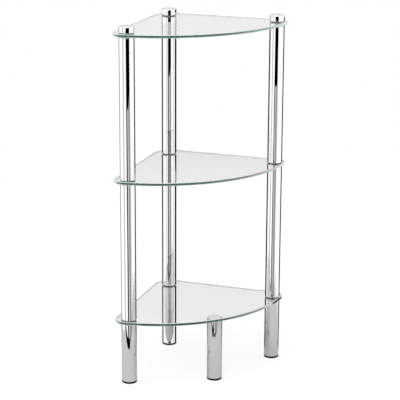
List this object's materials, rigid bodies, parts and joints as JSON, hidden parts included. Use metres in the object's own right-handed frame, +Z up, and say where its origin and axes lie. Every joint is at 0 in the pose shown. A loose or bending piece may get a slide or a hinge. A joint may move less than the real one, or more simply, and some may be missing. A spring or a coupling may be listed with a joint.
{
  "type": "corner shelf unit",
  "caption": "Free-standing corner shelf unit with quarter-round clear glass shelves clamped between chromed tube posts, an extra front leg and black foot caps.",
  "frame": {"origin": "on the floor, under the middle of the shelves' outline", "axes": "+Z up; +X along the back wall and +Y into it; the side wall is at -X, so the room's corner is at -X +Y"},
  "size_m": [0.2272, 0.2272, 0.5955],
  "materials": {
    "clear_glass": "polished clear glass with a green tint at the edges",
    "chrome": "bright polished chrome plate",
    "black_plastic": "matt moulded plastic",
    "clear_plastic": "soft clear plastic",
    "white_nylon": "plain moulded nylon",
    "zinc_steel": "bright zinc plate"
  },
  "bodies": {
    "root": {"bond_disc_front": "zinc_steel", "cap_back": "chrome", "cap_left": "chrome", "cap_right": "chrome", "foot_back": "black_plastic", "foot_front": "black_plastic", "foot_left": "black_plastic", "foot_right": "black_plastic", "glass_bottom": "clear_glass", "glass_middle": "clear_glass", "glass_top": "clear_glass", "grommet_bottom_back": "clear_plastic", "grommet_bottom_left": "clear_plastic", "grommet_bottom_right": "clear_plastic", "grommet_middle_back": "clear_plastic", "grommet_middle_left": "clear_plastic", "grommet_middle_right": "clear_plastic", "grommet_top_back": "clear_plastic", "grommet_top_left": "clear_plastic", "grommet_top_right": "clear_plastic", "leg_back": "chrome", "leg_front": "chrome", "leg_left": "chrome", "leg_right": "chrome", "lower_tube_back": "chrome", "lower_tube_left": "chrome", "lower_tube_right": "chrome", "plug_leg_back": "white_nylon", "plug_leg_front": "white_nylon", "plug_leg_left": "white_nylon", "plug_leg_right": "white_nylon", "plug_lower_foot_back": "white_nylon", "plug_lower_foot_left": "white_nylon", "plug_lower_foot_right": "white_nylon", "plug_lower_head_back": "white_nylon", "plug_lower_head_left": "white_nylon", "plug_lower_head_right": "white_nylon", "plug_upper_foot_back": "white_nylon", "plug_upper_foot_left": "white_nylon", "plug_upper_foot_right": "white_nylon", "plug_upper_head_back": "white_nylon", "plug_upper_head_left": "white_nylon", "plug_upper_head_right": "white_nylon", "stud_bottom_back": "zinc_steel", "stud_bottom_left": "zinc_steel", "stud_bottom_right": "zinc_steel", "stud_middle_back": "zinc_steel", "stud_middle_left": "zinc_steel", "stud_middle_right": "zinc_steel", "stud_top_back": "zinc_steel", "stud_top_left": "zinc_steel", "stud_top_right": "zinc_steel", "upper_tube_back": "chrome", "upper_tube_left": "chrome", "upper_tube_right": "chrome", "washer_front": "clear_plastic"}
  },
  "joints": []
}
